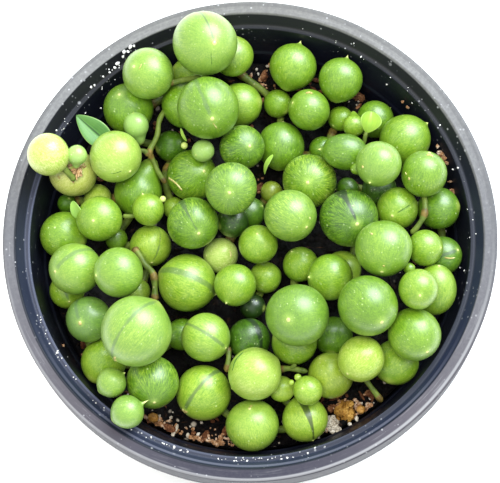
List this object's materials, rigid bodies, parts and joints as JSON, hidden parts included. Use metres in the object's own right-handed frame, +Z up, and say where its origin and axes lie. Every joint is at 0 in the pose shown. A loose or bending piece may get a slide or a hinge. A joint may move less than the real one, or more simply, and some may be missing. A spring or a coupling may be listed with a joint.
{
  "type": "potted string of pearls",
  "caption": "Small round nursery pot of potting mix with a trailing succulent: creeping stems strung with round, bead-like leaves.",
  "frame": {"origin": "centre of the foot that the pot stands on, at the bottom centre of the whole object", "axes": "+Z up along the pot's axis; +Y towards the side where the pearls stand highest against the rim; +X to the right of it seen from above"},
  "size_m": [0.076, 0.076, 0.0777],
  "materials": {
    "pot_plastic": "black moulded plastic, satin on the lip and glossy inside",
    "potting_mix": null,
    "stem_skin": null,
    "pearl_skin": null
  },
  "bodies": {
    "root": {"pot": "pot_plastic", "potting_mix": "potting_mix", "stem_north_west": "stem_skin", "stem_north": "stem_skin", "stem_west": "stem_skin", "stem_south_west": "stem_skin", "stem_centre": "stem_skin", "stem_east": "stem_skin", "stem_south": "stem_skin", "pearl_01": "pearl_skin", "pearl_02": "pearl_skin", "pearl_03": "pearl_skin", "pearl_04": "pearl_skin", "pearl_05": "pearl_skin", "pearl_06": "pearl_skin", "pearl_07": "pearl_skin", "pearl_08": "pearl_skin", "pearl_09": "pearl_skin", "pearl_10": "pearl_skin", "pearl_11": "pearl_skin", "pearl_12": "pearl_skin", "pearl_13": "pearl_skin", "pearl_14": "pearl_skin", "pearl_15": "pearl_skin", "pearl_16": "pearl_skin", "pearl_17": "pearl_skin", "pearl_18": "pearl_skin", "pearl_19": "pearl_skin", "pearl_20": "pearl_skin", "pearl_21": "pearl_skin", "pearl_22": "pearl_skin", "pearl_23": "pearl_skin", "pearl_24": "pearl_skin", "pearl_25": "pearl_skin", "pearl_26": "pearl_skin", "pearl_27": "pearl_skin", "pearl_28": "pearl_skin", "pearl_29": "pearl_skin", "pearl_30": "pearl_skin", "pearl_31": "pearl_skin", "pearl_32": "pearl_skin", "pearl_33": "pearl_skin", "pearl_34": "pearl_skin", "pearl_35": "pearl_skin", "pearl_36": "pearl_skin", "pearl_37": "pearl_skin", "pearl_38": "pearl_skin", "pearl_39": "pearl_skin", "pearl_40": "pearl_skin", "pearl_41": "pearl_skin", "pearl_42": "pearl_skin", "pearl_43": "pearl_skin", "pearl_44": "pearl_skin", "pearl_45": "pearl_skin", "pearl_46": "pearl_skin", "pearl_47": "pearl_skin", "pearl_48": "pearl_skin", "pearl_49": "pearl_skin", "pearl_50": "pearl_skin", "pearl_51": "pearl_skin"}
  },
  "joints": []
}
